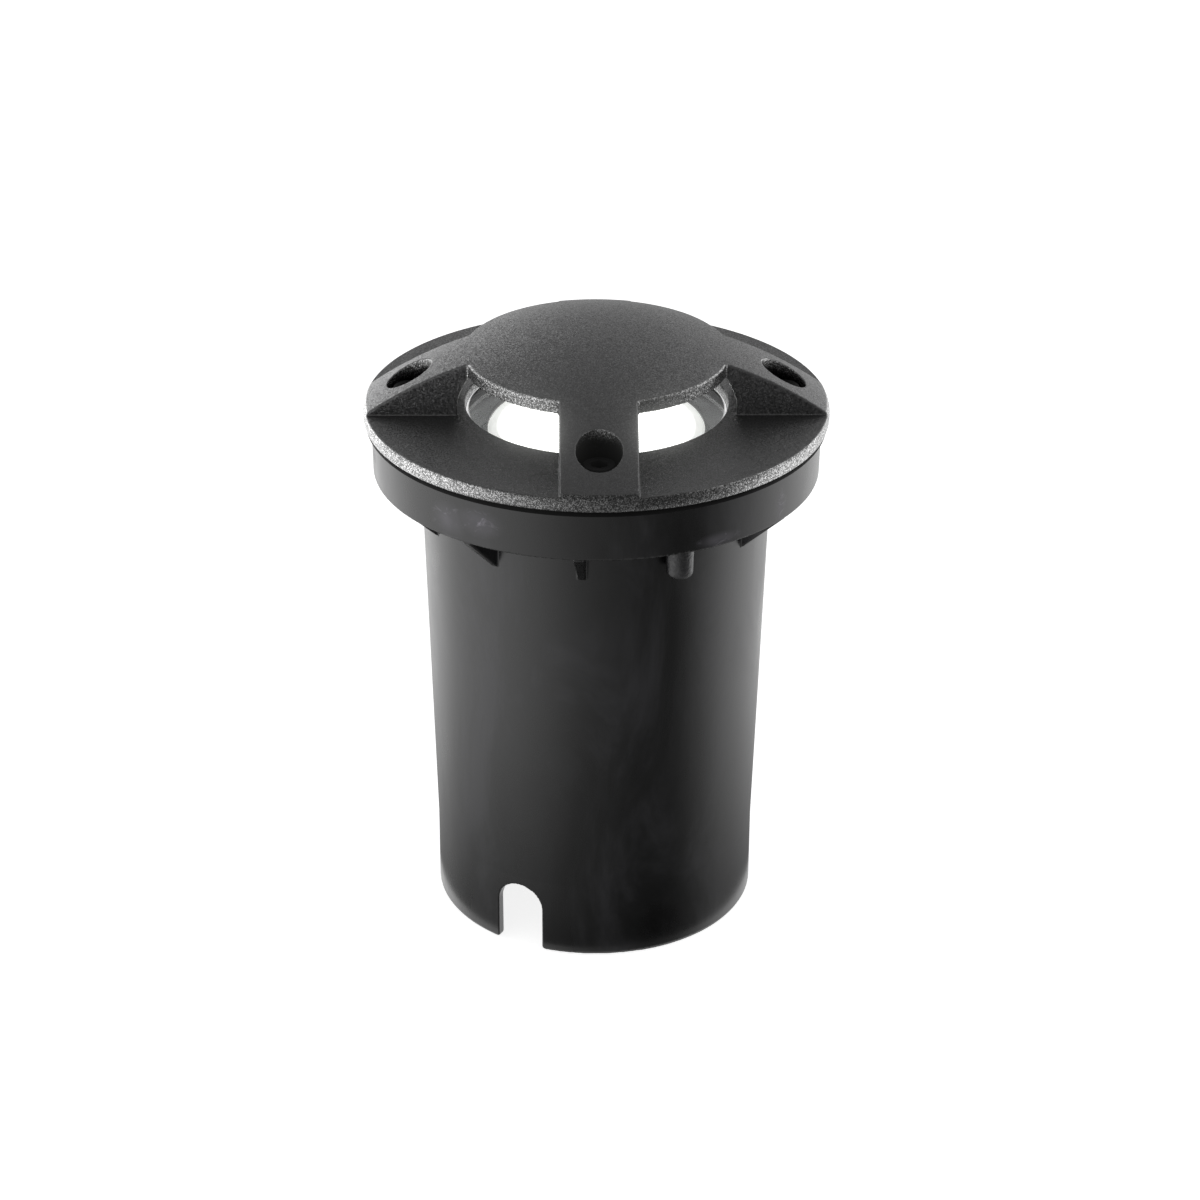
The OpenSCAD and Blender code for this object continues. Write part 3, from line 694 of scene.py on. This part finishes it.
def sleeve_sdf(x, y, z):
    r = np.hypot(x, y)
    body = poly_sdf(r, z, SLEEVE_IN) - 0.3
    # gussets, folded to one place of twelve
    theta = np.degrees(np.arctan2(x, -y)) - RIB_AZ
    k = np.round(theta / 30)
    local = np.radians(theta - 30 * k)
    u, w = r * np.sin(local), r * np.cos(local)
    gusset = rmax(poly_sdf(w, z, GUSSET) - 0.25, np.abs(u) - 1.1 - 0.03 * (z - 118), 0.3)
    place = np.mod(k, 12)
    gusset = np.where((place == 1) | (place == 7), 5.0, gusset)
    body = rmin(body, gusset, 0.45)
    # bosses with their rib to the tube
    for az in (BOSS_AZ, BOSS_AZ + 180):
        u, w = turned(x, y, az)
        w = w - 49.5
        d = np.hypot(u, w)
        boss = rmax(d - 3.6 + 0.02 * (124 - z), 113.5 - z, 1.9)
        boss = np.maximum(boss, z - 124.6)
        rib = np.maximum(rmax(np.abs(u) - 1.1, 114.4 - z, 0.4), np.maximum(np.maximum(w, -w - 5.0), z - 124.6))
        body = rmin(body, rmin(boss, rib, 0.4), 0.45)
        body = rmax(body, -np.maximum(np.maximum(d - 2.05, 115.2 - z), z - 128), 0.15)
    # cable slots
    for az in (SLOT_AZ, SLOT_AZ + 180):
        u, w = turned(x, y, az)
        slot = np.hypot(u, np.maximum(z - 12.1, 0)) - 6.5
        slot = rmin(slot, z - 0.02, 1.1)
        slot = np.maximum(slot, 30 - w)
        body = rmax(body, -slot, 0.3)
    return body


sleeve = sdf_piece("sleeve_moulding", sleeve_sdf, (-59, -59, -1), (59, 59, 138), 0.5, 0.3,
                   "sleeve", MAT["black_plastic"])
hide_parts("mounting_sleeve")


# ------------------------------------------------------------ round pieces

def turned_piece(name, profile, body, slot, segs=192, angle=28, node=None, x=0.0, y=0.0, n=5):
    co, faces = lathe(arc_corners(profile, n), segs, x, y)
    ob = add_mesh(name, co, faces, body, MAT[slot], smooth_angle=angle)
    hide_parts(node or name)
    return ob


def rename(ob, node):
    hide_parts(node)
    return ob


turned_piece("glass_disc", [(0, 131.8), (36.9, 131.8, 0.4), (37.35, 132.3, 0.3), (37.35, 136.2, 0.3),
             (36.9, 136.58, 0.3), (33.55, 136.58, 0.2), (33.55, 139.3, 0.2), (33.0, 139.88, 0.25), (0, 139.88)],
             "light_unit", "clear_glass", 256, node="glass_lens")


def sheet_ring(name, inner, outer, low, high, holes, body, slot, node, c=0.25):
    """A ring cut out of flat sheet, with round holes and slightly rounded edges."""
    loops = [(0, 0, outer, -1, 256), (0, 0, inner, 1, 192)] + [(x, y, r, 1, 48) for x, y, r in holes]
    q = c * (1 - math.sqrt(0.5))
    steps = [(c, high), (q, high - q), (0, high - c), (0, low + c), (q, low + q), (c, low)]
    co, faces, outline, edges = [], [], [], []
    for x, y, r, side, n in loops:
        first, flat = len(co), len(outline)
        for off, z in steps:
            for k in range(n):
                t = 2 * math.pi * k / n
                co.append((x + (r + side * off) * math.cos(t), y + (r + side * off) * math.sin(t), z))
        outline += [(first + k, first + (len(steps) - 1) * n + k) for k in range(n)]
        edges += [(flat + k, flat + (k + 1) % n) for k in range(n)]
        for j in range(len(steps) - 1):
            for k in range(n):
                a, b = first + j * n + k, first + j * n + (k + 1) % n
                face = (a, a + n, b + n, b)
                faces.append(face if side < 0 else face[::-1])
    cut = delaunay_2d_cdt([Vector(co[top][:2]) for top, _ in outline], edges, [], 0, 1e-5)
    source = [o[0] for o in cut[3]]
    for tri in cut[2]:
        mx = sum(cut[0][v][0] for v in tri) / 3
        my = sum(cut[0][v][1] for v in tri) / 3
        if math.hypot(mx, my) < inner + c or any(math.hypot(mx - x, my - y) < r + c for x, y, r in holes):
            continue
        faces.append(tuple(outline[source[v]][0] for v in tri))
        faces.append(tuple(outline[source[v]][1] for v in tri)[::-1])
    ob = add_mesh(name, co, faces, body, MAT[slot], smooth_angle=28)
    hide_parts(node)
    return ob


def place(az, r):
    a = math.radians(az)
    return r * math.sin(a), -r * math.cos(a)


# the gasket reaches out almost to the flange's edge; with its near-black rubber it is painted shade standing for the
# shaded gap under the flange
sheet_ring("gasket_and_shade_gap", 39.3, 59.4, 136.62, 137.98,
           [place(a, 48) + (2.9,) for a in (0, 90, 180, 270)] + [place(BOSS_AZ + a, 49.5) + (5.0,) for a in (0, 180)],
           "light_unit", "black_rubber", "cover_seal")
turned_piece("diffuser_disc", [(0, 127.0), (33.6, 127.0, 0.2), (33.6, 128.78, 0.3), (27.25, 128.78, 0.2),
             (27.2, 129.8, 0.35), (0, 129.8)], "light_unit", "opal_diffuser", 192, node="diffuser")
turned_piece("trim_ring", [(27.5, 128.82, 0.1), (34.2, 128.82, 0.2), (34.2, 131.72, 0.2), (33.5, 131.72, 0.2),
             (33.3, 130.2, 0.3), (28.2, 130.05, 0.3), (27.5, 129.6, 0.2)],
             "light_unit", "dark_ring", 192, node="bezel_ring")

# --------------------------------------------------------------- fasteners

SEGS = 96


def hexagon(apothem, turn=0.0):
    t = 2 * np.pi * np.arange(SEGS) / SEGS + math.radians(turn)
    a = (t + np.pi / 6) % (np.pi / 3) - np.pi / 6
    return apothem / np.cos(a)


def cap_screw(name, x, y, seat, d, pitch, length, head_r, head_h, key, key_depth, body, slot, node, turn=0.0):
    """A socket cap screw: helical thread, knurled head, chamfered rim, hexagon socket."""
    t = 2 * np.pi * np.arange(SEGS) / SEGS
    r, tip = d / 2, seat - length
    core = r - 0.61 * pitch
    rings = [(0.35 * np.ones(SEGS), tip), (core * 0.75, tip), (core, tip + 0.35)]
    per = 8
    n = int((length - 1.1) / pitch * per)
    for i in range(n + 1):
        z = tip + 0.4 + i * pitch / per
        phase = (z / pitch - t / (2 * np.pi)) % 1.0
        crest = np.clip(1.35 - 2.9 * np.abs(phase - 0.5), 0, 1)
        fade = min(1, i / (per * 0.8), (n - i) / (per * 0.6))
        rings.append((core + (r - core) * crest * max(fade, 0), z))
    rings += [(core, seat - 0.45), (r * 0.99, seat - 0.1), (r + 0.15, seat), (head_r - 0.25, seat)]
    knurl = 0.09 * (0.5 + 0.5 * np.cos(32 * t))
    rings += [(head_r - 0.08, seat + 0.12), (head_r - 0.02 - knurl, seat + 0.45),
              (head_r - 0.02 - knurl, seat + head_h - 0.75), (head_r - 0.04, seat + head_h - 0.5),
              (head_r - 0.12, seat + head_h - 0.28), (head_r - 0.4, seat + head_h - 0.03), (head_r - 0.62, seat + head_h)]
    hexa = hexagon(key / 2, turn)
    rings += [(hexa + 0.28, seat + head_h), (hexa + 0.08, seat + head_h - 0.1), (hexa, seat + head_h - 0.3),
              (hexa, seat + head_h - key_depth), (hexa * 0.86, seat + head_h - key_depth - 0.02),
              (0.3 * np.ones(SEGS), seat + head_h - key_depth - 0.5)]
    co, faces = loft(rings, SEGS, x, y)
    ob = add_mesh(name, co, faces, body, MAT[slot], smooth_angle=32)
    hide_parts(node)
    return ob


for where, az in (("front", 0), ("right", 90), ("rear", 180), ("left", 270)):
    x, y = place(az, 48)
    turned_piece(f"washer_{where}", [(2.72, 139.82, 0.1), (4.98, 139.82, 0.25), (4.98, 140.78, 0.3), (2.72, 140.78, 0.1)],
                 f"cover_washer_{where}", "black_steel", 64, node=f"cover_washer_{where}", x=x, y=y, n=3)
    cap_screw(f"cap_screw_{where}", x, y, 140.8, 5.0, 0.8, 12.2, 4.25, 5.0, 4.0, 2.75,
              f"cover_screw_{where}", "black_steel", f"cover_screw_{where}", az * 1.37)
for where, az in (("front", BOSS_AZ), ("rear", BOSS_AZ + 180)):
    x, y = place(az, 49.5)
    turned_piece(f"fixing_disc_{where}", [(2.22, 129.42, 0.1), (4.38, 129.42, 0.2), (4.38, 130.18, 0.25), (2.22, 130.18, 0.1)],
                 f"fixing_washer_{where}", "stainless", 64, node=f"fixing_washer_{where}", x=x, y=y, n=3)
    cap_screw(f"fixing_cap_screw_{where}", x, y, 130.2, 4.0, 0.7, 8.1, 3.8, 2.6, 2.5, 1.55,
              f"fixing_screw_{where}", "stainless", f"fixing_screw_{where}", az)

# ------------------------------------------------------------ camera, light

scene = bpy.context.scene
scene.view_settings.view_transform = "Standard"
scene.view_settings.look = "None"

R60 = 0.060
turn = math.radians(-0.9)
rot = Matrix.Rotation(turn, 3, "Z")
yaw, pitch, roll = 0.0008, 0.4703, 0.005
eye = rot @ Vector((0.0086 * R60, -13.5339 * R60, 5.9801 * R60)) + Vector((0, 0, BASE * MM))
fwd = rot @ Vector((math.sin(yaw) * math.cos(pitch), math.cos(yaw) * math.cos(pitch), -math.sin(pitch)))
side = rot @ Vector((math.cos(yaw), -math.sin(yaw), 0))
up = side.cross(fwd)
right = math.cos(roll) * side + math.sin(roll) * up
up = -math.sin(roll) * side + math.cos(roll) * up
cam_data = bpy.data.cameras.new("camera")
cam_data.sensor_width = 36
cam_data.lens = 3437.74 / 1200 * 36
cam_data.clip_start, cam_data.clip_end = 0.01, 50
camera = bpy.data.objects.new("camera", cam_data)
scene.collection.objects.link(camera)
m = Matrix.Identity(4)
for i, v in enumerate((right, up, -fwd, eye)):
    m[0][i], m[1][i], m[2][i] = v
camera.matrix_world = m
scene.camera = camera

# floor: a wide shallow dish of plain white, so that no edge shows
co, faces = lathe([(0, -0.2), (200, -0.2), (2000, -0.2), (6000, -0.2), (9000, 60), (12000, 900)], 96, closed=False)
fm = Nodes("floor_white")
fm.set(Base_Color=fm.ramp(fm.noise(2.0, 2.0), [(0.3, 0.8), (0.7, 0.82)]), Roughness=0.9)
fm.shader.inputs["Specular IOR Level"].default_value = 0.1
fm.shader.inputs["Emission Color"].default_value = (1, 1, 1, 1)
fm.shader.inputs["Emission Strength"].default_value = 0.85
me = bpy.data.meshes.new("floor")
me.from_pydata([(a * MM, b * MM, c * MM) for a, b, c in co], [], [tuple(reversed(f)) for f in faces])
me.materials.append(fm.mat)
me.shade_smooth()
floor = bpy.data.objects.new("floor", me)
scene.collection.objects.link(floor)
floor.visible_glossy = False
floor.visible_diffuse = False

# the object's own shade on the table, which only its lower part mirrors
co, faces = lathe([(46, -0.1), (80, -0.1), (120, -0.1), (170, -0.1)], 96, closed=False)
sm = bpy.data.materials.new("table_shade")
sm.use_nodes = True
st = sm.node_tree
st.nodes.clear()
dark, clear, blend = (st.nodes.new("ShaderNode" + k) for k in ("BsdfDiffuse", "BsdfTransparent", "MixShader"))
dark.inputs["Color"].default_value = (0.02, 0.02, 0.02, 1)
where, length, far, end = (st.nodes.new("ShaderNode" + k) for k in ("TexCoord", "VectorMath", "ValToRGB", "OutputMaterial"))
length.operation = "LENGTH"
far.color_ramp.elements[0].position, far.color_ramp.elements[0].color = 0.046, (0.75, 0.75, 0.75, 1)
far.color_ramp.elements[1].position, far.color_ramp.elements[1].color = 0.165, (0, 0, 0, 1)
st.links.new(where.outputs["Object"], length.inputs[0])
st.links.new(length.outputs["Value"], far.inputs["Fac"])
st.links.new(far.outputs["Color"], blend.inputs[0])
st.links.new(clear.outputs[0], blend.inputs[1])
st.links.new(dark.outputs[0], blend.inputs[2])
st.links.new(blend.outputs[0], end.inputs["Surface"])
me = bpy.data.meshes.new("table_shade")
me.from_pydata([(a * MM, b * MM, c * MM) for a, b, c in co], [], faces)
me.materials.append(sm)
shade = bpy.data.objects.new("table_shade", me)
scene.collection.objects.link(shade)
shade.visible_camera = False
shade.visible_diffuse = False
shade.visible_shadow = False

world = bpy.data.worlds.new("studio")
scene.world = world
world.use_nodes = True
wt = world.node_tree
wt.nodes.clear()


def wnode(kind, **settings):
    node = wt.nodes.new(kind)
    for key, value in settings.items():
        setattr(node, key, value)
    return node


def wmath(op, a, b=None, c=None, clamp=False):
    node = wnode("ShaderNodeMath", operation=op, use_clamp=clamp)
    for i, v in enumerate((a, b, c)):
        if v is None:
            continue
        if isinstance(v, (int, float)):
            node.inputs[i].default_value = v
        else:
            wt.links.new(v, node.inputs[i])
    return node.outputs[0]


def wramp(value, stops, mode):
    node = wnode("ShaderNodeValToRGB")
    node.color_ramp.interpolation = mode
    els = node.color_ramp.elements
    while len(els) < len(stops):
        els.new(0.5)
    for e, (pos, level) in zip(els, stops):
        e.position = pos
        e.color = (level, level, level, 1)
    wt.links.new(value, node.inputs["Fac"])
    return node.outputs["Color"]


# Soft studio: light levels round the object, at azimuths in degrees from the front (-Y) to the right (+X). LOW is
# what comes up from the table, AROUND what is level with the object, HIGH what is above it, then OVERHEAD and UNDER.
LOW = [(-180, 1.2), (-156, 2.0), (-132, 2.4), (-108, 2.2), (-84, 2.5), (-60, 2.4), (-36, 1.75), (-12, 0.8), (12, 0.4),
       (36, 0.1), (60, 0.2), (84, 1.3), (102, 2.2), (132, 1.9), (156, 1.5), (180, 1.2)]
AROUND = [(-180, 0.6), (-156, 4.0), (-132, 3.4), (-108, 1.6), (-84, 2.2), (-60, 2.1), (-36, 1.4), (-12, 0.9),
          (12, 0.4), (36, 0.1), (60, 0.3), (84, 0.75), (108, 1.4), (132, 1.8), (156, 1.6), (180, 0.6)]
HIGH = [(-180, 0.36), (-157, 1.2), (-135, 1.1), (-90, 1.1), (-45, 0.6), (0, 0.28), (45, 0.36), (90, 1.2), (135, 1.9), (180, 0.36)]
OVERHEAD, UNDER = 0.36, 1.0
PEAK = 8.0
tc = wnode("ShaderNodeTexCoord")
sep = wnode("ShaderNodeSeparateXYZ")
wt.links.new(tc.outputs["Generated"], sep.inputs[0])
wx, wy, wz = sep.outputs
azimuth = wmath("MULTIPLY_ADD", wmath("ARCTAN2", wx, wmath("MULTIPLY", wy, -1.0)), 1 / (2 * math.pi), 0.5)
rise = wmath("MULTIPLY_ADD", wz, 0.5, 0.5)


def band(levels, share):
    """Levels round the object, with their share at each height."""
    if isinstance(levels, list):
        levels = wmath("MULTIPLY", wramp(azimuth, [((d + 180) / 360, v / PEAK) for d, v in levels], "LINEAR"), PEAK)
    return wmath("MULTIPLY", wramp(rise, share, "LINEAR"), levels)


level = band(UNDER, [(0.0, 1), (0.05, 1), (0.275, 0)])
for levels, share in ((LOW, [(0.05, 0), (0.275, 1), (0.5, 0)]), (AROUND, [(0.275, 0), (0.5, 1), (0.725, 0)]),
                      (HIGH, [(0.5, 0), (0.725, 1), (0.95, 0)]), (OVERHEAD, [(0.725, 0), (0.95, 1), (1.0, 1)])):
    level = wmath("ADD", level, band(levels, share))
bg = wnode("ShaderNodeBackground")
wt.links.new(level, bg.inputs["Strength"])
plain = wnode("ShaderNodeBackground")
plain.inputs["Color"].default_value = (1, 1, 1, 1)
plain.inputs["Strength"].default_value = 1.0
path = wnode("ShaderNodeLightPath")
mixw = wnode("ShaderNodeMixShader")
out = wnode("ShaderNodeOutputWorld")
wt.links.new(path.outputs["Is Camera Ray"], mixw.inputs[0])
wt.links.new(bg.outputs[0], mixw.inputs[1])
wt.links.new(plain.outputs[0], mixw.inputs[2])
wt.links.new(mixw.outputs[0], out.inputs["Surface"])

# a little glare round the lit windows, as any lens gives
scene.use_nodes = True
comp = scene.node_tree
comp.nodes.clear()
layers = comp.nodes.new("CompositorNodeRLayers")
glare = comp.nodes.new("CompositorNodeGlare")
glare.glare_type = "BLOOM"
glare.inputs["Threshold"].default_value = 1.4
glare.inputs["Strength"].default_value = 0.6
glare.inputs["Size"].default_value = 0.06
final = comp.nodes.new("CompositorNodeComposite")
comp.links.new(layers.outputs["Image"], glare.inputs["Image"])
comp.links.new(glare.outputs["Image"], final.inputs["Image"])
